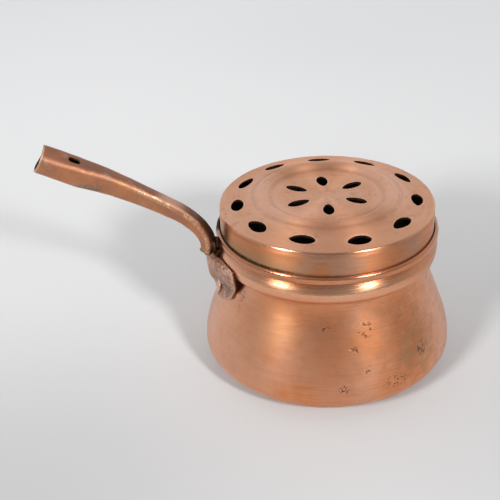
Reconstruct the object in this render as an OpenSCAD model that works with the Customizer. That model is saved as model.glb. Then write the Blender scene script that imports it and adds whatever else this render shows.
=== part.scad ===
// Copper hand warmer: a spun pot for hot embers, a pierced lift-off lid, and a handle rolled
// from one sheet, brazed to a shield-shaped tab that one rivet holds to the pot.
// Millimetres. The origin is the middle of the pot's flat base and the handle points along -X.

/* [Pot] */
// Radius of the flat base
base_r = 52.4; // [46:0.1:58]
// Radius of the pot where it is widest
belly_r = 71.6; // [66:0.1:80]
// Height of the widest place
belly_z = 13.6; // [9:0.1:20]
// Outer radius of the neck, at the crease under the bead
neck_r = 57.5; // [55:0.1:59.5]
// Height of the neck crease
neck_z = 67; // [55:0.5:80]
// Thickness of the copper sheet of the pot and the lid
sheet = 1.3; // [0.9:0.1:1.8]
// Height of the bead, from the crease to the groove
bead_h = 13.4; // [11:0.1:18]
// How far the bead swells past the straight wall of the mouth
bead_swell = 0.5; // [0.1:0.1:1.2]
// Height of the rolled lip above the groove
lip_h = 4.4; // [3:0.1:7]
// Depth of the groove between the bead and the lip
groove_depth = 0.8; // [0.3:0.1:1.2]

/* [Lid] */
// Outer radius of the lid's skirt
lid_r = 60; // [58.5:0.1:64]
// Height of the skirt, from its foot to the lid's edge
skirt_h = 29; // [24:0.5:40]
// Gap all round between the skirt and the inside of the mouth
skirt_gap = 0.8; // [0.4:0.1:1.5]
// Gap left under the skirt where it rests on the ledge
seat_gap = 0.3; // [0.2:0.1:0.6]
// Radius of the small round on the lid's edge
edge_round = 0.8; // [0.4:0.1:1.2]
// Height of the ring's outer foot above the edge of the lid
border_rise = 4.1; // [2:0.1:8]
// Radius of the outer foot of the raised ring
ring_outer_r = 41.5; // [38:0.5:43]
// Radius of the inner foot of the raised ring
ring_inner_r = 31; // [28:0.5:34]
// Height of the ring's crest above its feet
ring_h = 2.2; // [1:0.1:4]
// How far the middle of the lid lies under the ring's outer foot
middle_drop = 0.8; // [0:0.1:2]

/* [Piercing] */
// Number of almond holes round the border
border_holes = 11; // [8:1:12]
// Distance from the axis to the middle of a border hole
border_hole_r = 50.4; // [49:0.1:52]
// Length of a border hole, along the border
border_hole_l = 14; // [9:0.1:16]
// Width of a border hole
border_hole_w = 6.8; // [4:0.1:8]
// Turn of the first border hole from +X
border_turn = 14.8; // [-30:0.1:30]
// Number of petals in the middle
petals = 6; // [4:1:8]
// Distance from the axis to the middle of a petal
petal_r = 18; // [16:0.1:20]
// Length of a petal, outwards
petal_l = 13; // [9:0.1:15]
// Width of a petal
petal_w = 6; // [3:0.1:7]
// Turn of the first petal from +X
petal_turn = 22.5; // [0:0.1:60]

/* [Handle] */
// Thickness of the handle's sheet
handle_sheet = 1.3; // [1:0.1:1.6]
// Distance from the pot's axis to the tip of the handle's upper line
handle_reach = 149.2; // [135:0.1:170]
// Height of the tip of the handle's upper line
handle_top = 147.1; // [135:0.1:165]
// Slope of the mouth end of the handle, in degrees
mouth_tilt = 28; // [20:1:34]
// Slope of the handle where the bend ends, in degrees
bend_tilt = 34.5; // [31:0.5:42]
// How far the bend carries the handle out from the rim
bend_out = 19.3; // [14:0.1:24]
// How far the bend carries the handle up
bend_up = 28.3; // [24:0.1:34]
// Length of the straight mouth, where a wooden grip goes in
mouth_l = 24; // [18:0.5:30]
// Radius of the bore in the mouth
bore_r = 6.7; // [6.6:0.05:7]
// Depth of the bore
bore_depth = 22; // [12:0.5:23]
// Radius of the tube at the mouth, to the middle of its sheet
mouth_r = 7.1; // [7:0.05:7.2]
// Radius of the tube at the end of the bend, to the middle of its sheet
waist_r = 4.55; // [4:0.05:5.5]
// Radius of the tube beside the rim, to the middle of its sheet
root_r = 3.75; // [3.2:0.05:4.5]
// Open gap of the seam along the under side
seam_gap = 0.5; // [0.3:0.1:1]
// Gap between the tube and the pot's rim
rim_gap = 0.4; // [0.3:0.1:1]
// Height of the tube's lower end, on the side of the pot
tube_low_z = 72.9; // [72.5:0.1:73.5]
// Slant of the tube's lower end, in degrees
tube_end_tilt = 20; // [15:1:30]
// How far under the groove the tube starts to bend outwards
rim_clear = 2; // [0:0.5:4]
// Length of the pin hole for the grip, along the tube
pin_hole_l = 6.6; // [4:0.1:8]
// Width of the pin hole
pin_hole_w = 3.6; // [2.5:0.1:5]
// Distance of the pin hole from the mouth
pin_hole_in = 17; // [10:0.5:20]
// Turn of the pin hole from the top of the tube towards -Y, in degrees
pin_hole_turn = 21; // [0:1:40]

/* [Tab and rivet] */
// Width of the tab at its shoulders
tab_w = 51; // [44:0.5:56]
// Height of the tab's lowest point
tab_low_z = 45.8; // [44.5:0.1:46]
// Height where the tab is widest
tab_mid_z = 62; // [59:0.5:65]
// Height of the top of the tab's shoulders
tab_top_z = 73.8; // [73:0.1:74]
// Radius of the tab's own curve at its shoulders
tab_curve_r = 36; // [32:1:44]
// Slope of the tab where it meets the tube, in degrees
lean_tilt = 76; // [70:1:86]
// How far down the tab keeps that slope
lean_reach = 9; // [5:0.5:12]
// How far up the tab stays near the wall above the rivet
lean_bend = 1; // [0.5:0.1:3]
// Gap between the tab and the pot's wall
tab_gap = 0.3; // [0.2:0.05:0.6]
// Width of the tongue that goes up into the tube
tongue_w = 5; // [3.5:0.1:5.2]
// Length of the tongue above the shoulders
tongue_l = 5; // [3:0.1:8]
// Height of the rivet on the wall
rivet_z = 50; // [49.6:0.1:51]
// Radius of the rivet's shank
rivet_r = 2.5; // [1.5:0.1:3]
// Radius of the outer, hammered head
head_r = 3.9; // [3.3:0.1:4]
// Height of the outer head
head_h = 1.5; // [0.8:0.1:2.5]
// Radius of the head closed inside the pot
inner_head_r = 4; // [3.4:0.1:5]
// Height of the inner head
inner_head_h = 1.1; // [0.6:0.1:2]
// Clearance round the shank
rivet_gap = 0.1; // [0.05:0.05:0.2]
// Gap under each head, which lets the flat head sit on the round wall
head_gap = 0.5; // [0.35:0.05:0.6]

/* [Hidden] */
$fn = 96;
copper = "#b87350";
dark_copper = "#8a5a40";
past = 1;               // how far a cut runs past the face that it opens
turn_fullness = 1.09;   // how full the low turn of the pot is; 1 is an ellipse
lip_fullness = 0.6;     // how square the rolled lip is
groove_tightness = 4;   // how late the bead turns in to the groove
ledge_rise = 0.9;       // depth of the filled crease under the lid's ledge
border_bow = 1.5;       // how hollow the lid's border is; 1 is a plain cone
bend_pull = 0.4;        // how far the handle's bend holds its two end slopes
arm_flare = 1.5;        // how late the tube widens towards its mouth
tab_tip = 0.8;          // half the width of the tab's blunt point
tab_taper = 1.3;        // how pointed the tab is below
tab_square = 3;         // how square its shoulders are
lean_crowd = 1.6;       // how closely steps crowd at the tab's shoulders
head_seat = 0.9;        // part of the rivet's head that must lie on the flat seat
head_edge = 0.35;       // height of the edge of a rivet's head, as a part of the head
wall_steps = 26;        // straight steps in the wall's curve
turn_steps = 9;         // steps in each rounded turn of a profile
across_steps = 24;      // steps across the sheet of the handle and the tab

// Derived sizes
mouth_in_r = lid_r + skirt_gap;
rim_r = mouth_in_r + sheet;
bead_r = rim_r + bead_swell;
bead_turn_h = bead_h / 3;
groove_z = neck_z + bead_h;
rim_z = groove_z + lip_h;
ledge_z = neck_z + sheet + ledge_rise;
skirt_z = ledge_z + seat_gap;
lid_z = skirt_z + skirt_h;

function mix(a, b, t) = a + (b - a) * t;
function clamp01(t) = max(0, min(1, t));
function ease(t) = let (u = clamp01(t)) u * u * (3 - 2 * u);

// Outer radius of the pot's wall at a height between the widest place and the neck
function wall_r(z) = mix(belly_r, neck_r, ease((z - belly_z) / (neck_z - belly_z)));
// Angle by which the wall's normal tips upwards there
function wall_lean(z) = atan((wall_r(z - 0.05) - wall_r(z + 0.05)) / 0.1);

// The pot's outline from the base to the neck, drawn in by a depth square to the wall
function low_turn(a, depth) = [
    base_r + (belly_r - base_r) * pow(sin(a), turn_fullness) - depth * sin(a),
    belly_z * (1 - pow(cos(a), turn_fullness)) + depth * cos(a)];
function side(z, depth) = [
    wall_r(z) - depth * cos(wall_lean(z)),
    z - depth * sin(wall_lean(z))];
function body_line(depth) = concat(
    [for (i = [0 : turn_steps - 1]) low_turn(90 * i / turn_steps, depth)],
    [for (i = [0 : wall_steps]) side(mix(belly_z, neck_z, i / wall_steps), depth)]);

// The bead turns out of the crease, swells, and ends in the groove under the lip
function bead_line() = concat(
    [for (i = [1 : turn_steps]) let (a = 90 * i / turn_steps)
        [mix(neck_r, rim_r, sin(a)), neck_z + bead_turn_h * (1 - cos(a))]],
    [for (i = [1 : turn_steps]) let (a = 180 * i / turn_steps, t = i / turn_steps)
        [rim_r + bead_swell * sin(a) - groove_depth * pow(t, groove_tightness),
         mix(neck_z + bead_turn_h, groove_z, t)]]);
// The lip is a half-round roll, from the groove to the top of the mouth
function lip_line() = [for (i = [1 : turn_steps]) let (a = -90 + 180 * i / turn_steps)
    [mix(mouth_in_r, rim_r + bead_swell, pow(max(0, cos(a)), lip_fullness)),
     mix(groove_z, rim_z, (1 + sin(a)) / 2)]];

module pot() {
    inner = body_line(sheet);
    floor_z = sheet;
    outline = concat(
        [[0, 0]], body_line(0), bead_line(), lip_line(),
        [[mouth_in_r, ledge_z], [inner[len(inner) - 1].x, ledge_z]],
        [for (i = [len(inner) - 1 : -1 : 0]) inner[i]],
        [[0, floor_z]]);
    color(copper) difference() {
        rotate_extrude() polygon(outline);
        rivet_hole();
    }
}

// Height of the lid's top face above its edge
function lid_top(r) =
    r >= ring_outer_r ? border_rise * pow((lid_r - r) / (lid_r - ring_outer_r), border_bow)
    : r >= ring_inner_r ? let (t = (r - ring_inner_r) / (ring_outer_r - ring_inner_r))
        border_rise - middle_drop * (1 - ease(t)) + ring_h * (1 - cos(360 * t)) / 2
    : border_rise - middle_drop;

module lid() {
    top_rs = concat([0],
        [for (i = [0 : 2 * turn_steps]) mix(ring_inner_r, ring_outer_r, i / (2 * turn_steps))],
        [for (i = [1 : turn_steps]) mix(ring_outer_r, lid_r - edge_round, i / turn_steps)]);
    edge_z = lid_top(lid_r - edge_round);
    round_points = [for (i = [1 : turn_steps - 1]) let (a = 90 * i / turn_steps)
        [lid_r - edge_round * (1 - sin(a)), edge_z - edge_round * (1 - cos(a))]];
    inside_r = lid_r - sheet;
    outline = concat(
        [for (r = top_rs) [r, lid_top(r)]],
        round_points,
        [[lid_r, edge_z - edge_round], [lid_r, -skirt_h], [inside_r, -skirt_h],
         [inside_r, lid_top(inside_r) - sheet]],
        [for (i = [len(top_rs) - 1 : -1 : 0]) if (top_rs[i] < inside_r - 1)
            [top_rs[i], lid_top(top_rs[i]) - sheet]]);
    cut_h = border_rise + ring_h + 2 * sheet + edge_round;
    color(copper) translate([0, 0, lid_z]) difference() {
        rotate_extrude() polygon(outline);
        translate([0, 0, -sheet - edge_round]) {
            for (i = [0 : border_holes - 1])
                rotate(border_turn + i * 360 / border_holes) translate([border_hole_r, 0, 0])
                    rotate(90) linear_extrude(cut_h) almond(border_hole_l, border_hole_w);
            for (i = [0 : petals - 1])
                rotate(petal_turn + i * 360 / petals) translate([petal_r, 0, 0])
                    linear_extrude(cut_h) almond(petal_l, petal_w);
        }
    }
}

// Two arcs that meet in a point at each end
module almond(long, wide) {
    arc_r = (long * long + wide * wide) / (4 * wide);
    intersection() {
        translate([0, arc_r - wide / 2]) circle(r = arc_r);
        translate([0, wide / 2 - arc_r]) circle(r = arc_r);
    }
}

// The middle line of a bent sheet is its spine: points are [distance from the axis, height], and a
// heading is the spine's slope as it climbs. The tube's spine lies on the side of the pot.
spine_off = handle_sheet / 2;
rim_spine = [bead_r + rim_gap + spine_off, groove_z - rim_clear];
tip = [handle_reach, handle_top];
mouth_dir = [cos(mouth_tilt), sin(mouth_tilt)];
mouth_start = tip - mouth_l * mouth_dir;
bend_end = rim_spine + [bend_out, bend_up];

function bezier(p, t) = pow(1 - t, 3) * p[0] + 3 * pow(1 - t, 2) * t * p[1]
    + 3 * (1 - t) * t * t * p[2] + t * t * t * p[3];
function bezier_dir(p, t) = pow(1 - t, 2) * (p[1] - p[0]) + 2 * (1 - t) * t * (p[2] - p[1])
    + t * t * (p[3] - p[2]);
function heading(d) = atan2(d.y, d.x);
// A curve between two places that leaves and arrives along given headings
function link(p, p_heading, q, q_heading, pull) = [p,
    p + pull * [cos(p_heading), sin(p_heading)], q - pull * [cos(q_heading), sin(q_heading)], q];

bend_curve = link(rim_spine, 90, bend_end, bend_tilt, bend_pull * bend_up);
arm_curve = link(bend_end, bend_tilt, mouth_start, mouth_tilt,
    norm(mouth_start - bend_end) / 3);

// A station is [spine point, heading, curvature of the sheet, half its width]
function half_sheet(r) = PI * r - seam_gap / 2;
function tube_station(curve, t, r) =
    [bezier(curve, t), heading(bezier_dir(curve, t)), 1 / r, half_sheet(r)];
bend_steps = 14;
arm_steps = 8;
tube_stations = concat(
    [[[rim_spine.x, tube_low_z - past], 90, 1 / root_r, half_sheet(root_r)]],
    [for (i = [0 : bend_steps - 1]) tube_station(bend_curve, i / bend_steps,
        mix(root_r, waist_r, i / bend_steps))],
    [for (i = [0 : arm_steps - 1]) tube_station(arm_curve, i / arm_steps,
        mix(waist_r, mouth_r, pow(i / arm_steps, arm_flare)))],
    [[mouth_start, mouth_tilt, 1 / mouth_r, half_sheet(mouth_r)],
     [tip, mouth_tilt, 1 / mouth_r, half_sheet(mouth_r)]]);

// The tab lies on the wall round its rivet, then leans straight out to the tube
function seat(z) = [wall_r(z) + (tab_gap + spine_off) / cos(wall_lean(z)), z];
leave_z = rivet_z + head_seat * head_r;
tongue_r = rim_spine.x + root_r + spine_off;
lean_low = seat(leave_z);
lean_top = [tongue_r, tab_top_z];
lean_curve = [lean_low, lean_low + lean_bend * [-sin(wall_lean(leave_z)), cos(wall_lean(leave_z))],
    lean_top - lean_reach * [cos(lean_tilt), sin(lean_tilt)], lean_top];
// Half the tab's width at a height: a blunt point below, and broad shoulders above
function tab_half(z) = z < tab_mid_z
    ? max(tab_tip, tab_w / 2 * sqrt(1 - pow((tab_mid_z - z) / (tab_mid_z - tab_low_z), tab_taper)))
    : max(tongue_w / 2, tab_w / 2 * pow(
        max(0, 1 - pow((z - tab_mid_z) / (tab_top_z - tab_mid_z), tab_square)), 1 / tab_square));
function tab_bend(z) = -mix(1 / seat(tab_low_z).x, 1 / tab_curve_r,
    clamp01((z - leave_z) / (tab_top_z - leave_z)));
seat_steps = 10;
lean_steps = 24;
tab_stations = concat(
    [for (i = [0 : seat_steps - 1]) let (z = mix(leave_z, tab_low_z, sin(90 * (1 - i / seat_steps))))
        [seat(z), 90 + wall_lean(z), tab_bend(z), tab_half(z)]],
    [for (i = [0 : lean_steps]) let (t = 1 - pow(1 - i / lean_steps, lean_crowd), p = bezier(lean_curve, t))
        [p, heading(bezier_dir(lean_curve, t)), tab_bend(p.y), tab_half(p.y)]],
    [[[tongue_r, tab_top_z + tongue_l], 90, tab_bend(tab_top_z), tongue_w / 2]]);

// A point of the sheet: u runs across it from the spine, and depth is off its middle surface
function sheet_point(s, u, depth) =
    let (out = [sin(s[1]), -cos(s[1])], bent = s[2] * u * 180 / PI,
         y = sin(bent) / s[2] - depth * sin(bent),
         n = (1 - cos(bent)) / s[2] + depth * cos(bent),
         p = s[0] + n * out)
    [-p.x, y, p.y];
function ring(s) = concat(
    [for (i = [0 : across_steps])
        sheet_point(s, s[3] * (2 * i / across_steps - 1), -spine_off)],
    [for (i = [across_steps : -1 : 0])
        sheet_point(s, s[3] * (2 * i / across_steps - 1), spine_off)]);

module bent_sheet(stations) {
    n = 2 * (across_steps + 1);
    last = (len(stations) - 1) * n;
    sides = [for (k = [0 : len(stations) - 2], i = [0 : n - 1])
        let (a = k * n + i, b = k * n + (i + 1) % n, c = b + n, d = a + n)
        each [[a, b, c], [a, c, d]]];
    ends = [for (i = [0 : across_steps - 1])
        let (a = i, b = i + 1, c = n - 2 - i, d = n - 1 - i)
        each [[a, d, c], [a, c, b],
              [last + a, last + b, last + c], [last + a, last + c, last + d]]];
    polyhedron(points = [for (s = stations) each ring(s)], faces = concat(sides, ends));
}

// Stands its children at the mouth of the tube, with +Z out of the mouth and +X its top
module at_mouth() {
    centre = tip + mouth_r * [sin(mouth_tilt), -cos(mouth_tilt)];
    translate([-centre.x, 0, centre.y]) rotate([0, mouth_tilt - 90, 0]) children();
}

module pin_hole() {
    run = pin_hole_l - pin_hole_w;
    at_mouth() rotate([0, 0, -pin_hole_turn]) translate([0, 0, -pin_hole_in])
        rotate([0, 90, 0]) linear_extrude(mouth_r + 2 * handle_sheet) union() {
            translate([-run / 2, 0]) circle(d = pin_hole_w);
            translate([run / 2, 0]) circle(d = pin_hole_w);
            square([run, pin_hole_w], center = true);
        }
}

// What the slanted cut takes off the tube's lower end
module end_cut() {
    size = 4 * root_r;
    translate([-rim_spine.x + spine_off, 0, tube_low_z]) rotate([0, tube_end_tilt, 0])
        translate([-0.75 * size, -size / 2, -size]) cube([size, size, size]);
}

module handle() {
    color(copper) difference() {
        bent_sheet(tube_stations);
        at_mouth() translate([0, 0, -bore_depth]) cylinder(r = bore_r, h = bore_depth + past);
        pin_hole();
        end_cut();
    }
}

module tab() {
    color(copper) difference() {
        bent_sheet(tab_stations);
        rivet_hole();
    }
}

// Stands its children on the wall at the rivet, with +Z square out of the wall
module at_rivet() {
    lean = wall_lean(rivet_z);
    translate([-wall_r(rivet_z), 0, rivet_z]) rotate([0, lean - 90, 0]) children();
}

module rivet_hole() {
    reach = 2 * (sheet + handle_sheet);
    at_rivet() translate([0, 0, -reach]) cylinder(r = rivet_r + rivet_gap, h = 2 * reach);
}

module rivet() {
    tab_face = tab_gap + handle_sheet + head_gap;
    wall_face = -sheet - head_gap;
    dome = [for (i = [0 : turn_steps]) let (a = 90 * i / turn_steps)
        [head_r * cos(a), tab_face + head_h * mix(head_edge, 1, sin(a))]];
    foot = [for (i = [0 : turn_steps]) let (a = 90 * i / turn_steps)
        [inner_head_r * sin(a), wall_face - inner_head_h * mix(head_edge, 1, cos(a))]];
    color(dark_copper) at_rivet() rotate_extrude() polygon(concat(
        foot, [[inner_head_r, wall_face], [rivet_r, wall_face], [rivet_r, tab_face],
               [head_r, tab_face]], dome));
}

pot();
lid();
handle();
tab();
rivet();
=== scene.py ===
# %% [markdown]
# # A copper hand warmer
# The real object is a low round pot that holds hot embers, a pierced lid that lifts off, and a
# handle rolled from one sheet of copper. It could be dressed by painting its CAD solids alone, but
# those are too perfect: spun and hammered copper is known by small dents, soft edges and stains.
# So each piece is made again here, a little worn, exactly where the CAD solid stands.

# %% Load the frame
import math
from functools import partialmethod
import bpy
import bmesh
from mathutils import Matrix, Vector


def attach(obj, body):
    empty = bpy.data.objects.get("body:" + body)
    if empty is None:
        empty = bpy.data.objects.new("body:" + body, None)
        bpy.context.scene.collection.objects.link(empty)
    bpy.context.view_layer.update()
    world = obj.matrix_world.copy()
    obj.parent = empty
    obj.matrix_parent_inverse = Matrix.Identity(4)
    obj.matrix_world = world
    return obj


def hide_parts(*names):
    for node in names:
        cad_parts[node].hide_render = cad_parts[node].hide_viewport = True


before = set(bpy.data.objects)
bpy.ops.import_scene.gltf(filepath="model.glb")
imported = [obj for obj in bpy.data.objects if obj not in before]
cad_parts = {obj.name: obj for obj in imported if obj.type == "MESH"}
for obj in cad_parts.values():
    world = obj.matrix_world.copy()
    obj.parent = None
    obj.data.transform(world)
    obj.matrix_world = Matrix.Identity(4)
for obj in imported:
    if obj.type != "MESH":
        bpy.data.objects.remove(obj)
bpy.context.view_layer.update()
MM = 0.001

# %% [markdown]
# ## Nodes written as sums
# A tree of nodes can be drawn by hand in Blender, or built in Python. A long sum drawn as Math
# nodes is hard to read, so this small class lets Python's own signs add those nodes. It serves the
# shapes (Geometry Nodes) and the finishes (shader nodes) alike.

# %% A wire that can be added and multiplied
class Wire:
    """One output of a node. Arithmetic on it adds Math nodes to its tree."""

    def __init__(self, tree, socket):
        self.tree, self.socket = tree, socket

    def sum(self, operation, *others):
        return add(self.tree, "ShaderNodeMath", dict(enumerate((self, *others))), operation=operation)

    # Each of Python's signs stands for one Math node
    __add__ = __radd__ = partialmethod(sum, "ADD")
    __sub__ = partialmethod(sum, "SUBTRACT")
    __mul__ = __rmul__ = partialmethod(sum, "MULTIPLY")
    __truediv__ = partialmethod(sum, "DIVIDE")
    __pow__ = partialmethod(sum, "POWER")
    __abs__ = partialmethod(sum, "ABSOLUTE")
    sin = partialmethod(sum, "SINE")
    cos = partialmethod(sum, "COSINE")

    def __rsub__(self, other):
        return self.sum("MULTIPLY_ADD", -1.0, other)

    def __rtruediv__(self, other):
        return (self ** -1.0) * other

    def ramp(self, low, high, to_low=0.0, to_high=1.0):
        """Smoothly from to_low, where the wire is low, to to_high, where it is high."""
        keys = {"Value": self, "From Min": low, "From Max": high, "To Min": to_low, "To Max": to_high}
        return add(self.tree, "ShaderNodeMapRange", keys, interpolation_type="SMOOTHSTEP")


def feed(node, inputs):
    """Feeds a node's inputs, by name or number, with wires or plain values."""
    for key, value in inputs.items():
        if isinstance(value, Wire):
            value.tree.links.new(value.socket, node.inputs[key])
        else:
            node.inputs[key].default_value = value


def add(tree, kind, inputs=None, out=0, **settings):
    """Adds a node, sets it, feeds its inputs, and returns one output."""
    node = tree.nodes.new(kind)
    for name, value in settings.items():
        setattr(node, name, value)
    feed(node, inputs or {})
    return Wire(tree, node.outputs[out])


def parts_of(vector):
    """The three numbers of a vector wire."""
    node = add(vector.tree, "ShaderNodeSeparateXYZ", {0: vector}).socket.node
    return [Wire(vector.tree, socket) for socket in node.outputs]


def vector_of(tree, x, y, z):
    return add(tree, "ShaderNodeCombineXYZ", {0: x, 1: y, 2: z})


def vector_sum(operation, first, second=None):
    """Arithmetic on vectors, under the names that the Vector Math node gives it."""
    inputs = {0: first}
    if second is not None:
        inputs["Scale" if operation == "SCALE" else 1] = second
    out = "Value" if operation in ("LENGTH", "DOT_PRODUCT") else "Vector"
    return add(first.tree, "ShaderNodeVectorMath", inputs, out, operation=operation)


print("wires are ready")

# %% [markdown]
# ## Trees with named inputs
# A Geometry Nodes tree is a recipe. Its inputs are the sizes that a maker would ask for, so one
# tree can make several pieces. A modifier on an object runs the recipe; its inputs are set by
# the hidden identifier of each socket, because two inputs may share a name. The result is then
# copied to a plain mesh, because the modifier itself doesn't travel with an exported model.

# %% Making a tree, running it, and keeping its result
SOCKETS = {int: "NodeSocketInt", float: "NodeSocketFloat", "object": "NodeSocketObject",
           "material": "NodeSocketMaterial"}


def new_tree(title, sizes, takes_mesh=False):
    """An empty recipe. sizes maps each input's name to its default, or to object or material."""
    tree = bpy.data.node_groups.new(title, "GeometryNodeTree")
    face = tree.interface
    face.new_socket("Geometry", in_out="OUTPUT", socket_type="NodeSocketGeometry")
    if takes_mesh:
        face.new_socket("Geometry", in_out="INPUT", socket_type="NodeSocketGeometry")
    for label, value in sizes.items():
        kind = SOCKETS[value if isinstance(value, str) else type(value)]
        socket = face.new_socket(label, in_out="INPUT", socket_type=kind)
        if not isinstance(value, str):
            socket.default_value = value
    start = tree.nodes.new("NodeGroupInput")
    return tree, {socket.name: Wire(tree, socket) for socket in start.outputs if socket.name}


def end_tree(geometry, material):
    """Closes a recipe: real geometry, not instances, in one material."""
    tree = geometry.tree
    real = add(tree, "GeometryNodeRealizeInstances", {0: geometry})
    finished = add(tree, "GeometryNodeSetMaterial", {"Geometry": real, "Material": material})
    tree.links.new(finished.socket, tree.nodes.new("NodeGroupOutput").inputs[0])
    print("recipe:", tree.name, "with", len(tree.nodes), "nodes")
    return tree


def run_tree(piece, tree, **sizes):
    """Puts a recipe on a piece as a modifier. Underscores stand for the spaces in input names."""
    modifier = piece.modifiers.new(tree.name, "NODES")
    modifier.node_group = tree
    for item in tree.interface.items_tree:
        if item.in_out == "INPUT" and item.name.replace(" ", "_") in sizes:
            modifier[item.identifier] = sizes[item.name.replace(" ", "_")]


def keep_result(piece, place=Matrix.Identity(4)):
    """Replaces a piece's mesh by what its modifiers make, and removes them."""
    bpy.context.view_layer.update()
    graph = bpy.context.evaluated_depsgraph_get()
    made = bpy.data.meshes.new_from_object(piece.evaluated_get(graph), depsgraph=graph)
    piece.modifiers.clear()
    # A mesh that nodes made has an empty slot before the metal's, and needs the metal's only
    skin = made.materials[-1]
    made.materials.clear()
    made.materials.append(skin)
    piece.data = made
    made.name = piece.name
    made.transform(place)
    shell = bmesh.new()
    shell.from_mesh(made)
    bmesh.ops.recalc_face_normals(shell, faces=shell.faces)
    open_edges = sum(not edge.is_manifold for edge in shell.edges)
    triangles = sum(len(face.verts) - 2 for face in shell.faces)
    shell.to_mesh(made)
    shell.free()
    print(f"{piece.name}: {triangles} triangles, {open_edges} open edges")


def new_piece(name, mesh=None):
    piece = bpy.data.objects.new(name, mesh or bpy.data.meshes.new(name))
    bpy.context.scene.collection.objects.link(piece)
    return piece


def new_guide(name, points, edges, faces=(), place=Matrix.Identity(4)):
    """A helping shape in millimetres, which a recipe or a cut reads and which goes at the end."""
    mesh = bpy.data.meshes.new(name)
    mesh.from_pydata([[c * MM for c in p] for p in points], edges, faces)
    mesh.transform(place)
    guides.append(new_piece(name, mesh))
    return guides[-1]


def line_object(name, points, **values):
    """A line of points as a guide, with one named number for each point where given."""
    line = new_guide(name, points, [(i, i + 1) for i in range(len(points) - 1)])
    for label, numbers in values.items():
        line.data.attributes.new(label, "FLOAT", "POINT").data.foreach_set("value", numbers)
    return line


guides = []
print("trees are ready")

# %% [markdown]
# ## The recipe for spun sheet
# A pot or a lid is spun: a disc of copper is pressed over a turning form, so its shape is one
# outline swept round an axis. Blender's Screw modifier could sweep it, but the recipe below also
# lets the walls wander by a fraction of a millimetre, as a real spun wall does. It lays out a flat
# grid, one column for each step round and one row for each point of the outline, and then bends
# the grid into place.

# %% Small recipes that the larger ones share
def stored(tree, label):
    """The number that a mesh or a line holds under a label."""
    return add(tree, "GeometryNodeInputNamedAttribute", {"Name": label}, data_type="FLOAT")


def store(geometry, label, value):
    """Writes a number on each point, for a later recipe or for the finish."""
    return add(geometry.tree, "GeometryNodeStoreNamedAttribute",
               {"Geometry": geometry, "Name": label, "Value": value}, data_type="FLOAT", domain="POINT")


def move(geometry, **inputs):
    """Moves points to a Position or by an Offset."""
    return add(geometry.tree, "GeometryNodeSetPosition", {"Geometry": geometry, **inputs})


def round_axis(radius, angle, height):
    """A place given by its distance from the Z axis, its angle round it, and its height."""
    return vector_of(radius.tree, radius * angle.cos(), radius * angle.sin(), height)


def grid_along(tree, guide, columns):
    """A flat grid to bend, with one row for each point of a guide line. Gives the grid, how far
    across each point is from 0 to 1, and the X, the Z and any number of the line in its row."""
    line = add(tree, "GeometryNodeObjectInfo", {"Object": guide}, out="Geometry")
    rows = add(tree, "GeometryNodeAttributeDomainSize", {0: line})
    size = {"Size X": 1.0, "Size Y": 1.0, "Vertices X": columns + 1, "Vertices Y": rows}
    grid = add(tree, "GeometryNodeMeshGrid", size)
    place = add(tree, "GeometryNodeInputPosition")
    across, down, _ = parts_of(place)
    row = ((down + 0.5) * (rows - 1.0)).sum("ROUND")

    def read(value, kind):
        return add(tree, "GeometryNodeSampleIndex", {"Geometry": line, "Value": value, "Index": row},
                   data_type=kind)

    def along(label):
        return read(stored(tree, label), "FLOAT")

    x, _, z = parts_of(read(place, "FLOAT_VECTOR"))
    return grid, across + 0.5, x, z, along


def wander(place, size, seed):
    """Smooth random numbers between about -1 and 1 that change over a distance of size."""
    keys = {"Vector": place, "W": seed * 7.3, "Scale": 1.0 / size, "Detail": 1.0}
    return (add(place.tree, "ShaderNodeTexNoise", keys, noise_dimensions="4D") - 0.5) * 2.0


def smooth_but_creased(mesh, sharpest=0.7):
    """Smooth shading, with the edges that turn by more than an angle in radians kept crisp."""
    turn = add(mesh.tree, "GeometryNodeInputMeshEdgeAngle")
    soft = add(mesh.tree, "GeometryNodeSetShadeSmooth", {"Geometry": mesh, "Shade Smooth": True})
    crisp = turn.sum("GREATER_THAN", sharpest)
    return add(mesh.tree, "GeometryNodeSetShadeSmooth",
               {"Geometry": soft, "Selection": crisp, "Shade Smooth": False}, domain="EDGE")


print("small recipes are ready")

# %% Spin an outline
def spinning_recipe():
    tree, size = new_tree("Spun sheet", {
        "Outline": "object", "Steps round": 256, "Dent depth": 0.0, "Dent size": 0.03,
        "Seed": 1, "Material": "material"})
    grid, around, radius, height, along = grid_along(tree, size["Outline"], size["Steps round"])
    angle = around * math.tau
    ideal = round_axis(radius, angle, height)
    # Dents only push inwards, and they fade out towards the axis
    dent = (wander(ideal, size["Dent size"], size["Seed"]) - 1.0) * size["Dent depth"] * 0.5
    worn = radius + dent * radius.ramp(0.0, size["Dent size"])
    # The mark is stored while the grid is still flat, because its row is worked out from the grid
    marked = store(grid, "meridian", along("meridian"))
    bent = move(marked, Position=round_axis(worn, angle, height))
    whole = add(tree, "GeometryNodeMergeByDistance", {"Geometry": bent, "Distance": 1e-6})
    return end_tree(smooth_but_creased(whole), size["Material"])


def meridian_of(points):
    """How far along the outline each point is, in metres."""
    far = [0.0]
    for a, b in zip(points, points[1:]):
        far.append(far[-1] + math.dist(a, b) * MM)
    return far


def spin(name, outline, **sizes):
    """A new piece, spun from an outline of (radius, height) in millimetres."""
    points = [(r, 0.0, z) for r, z in outline]
    line = line_object(name + "_outline", points, meridian=meridian_of(points))
    piece = new_piece(name)
    run_tree(piece, spun_sheet, Outline=line, **sizes)
    return piece


spun_sheet = spinning_recipe()

# %% [markdown]
# ## The pot
# The pot's outline climbs from the flat base round a low turn, up a soft S to the neck, and out
# into a bead and a rolled lip; inside it comes back down past the ledge that carries the lid. The
# numbers below are millimetres. An outline like this could also be drawn as a curve by hand, but
# as a list of points it stays exactly on the CAD solid.

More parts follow.
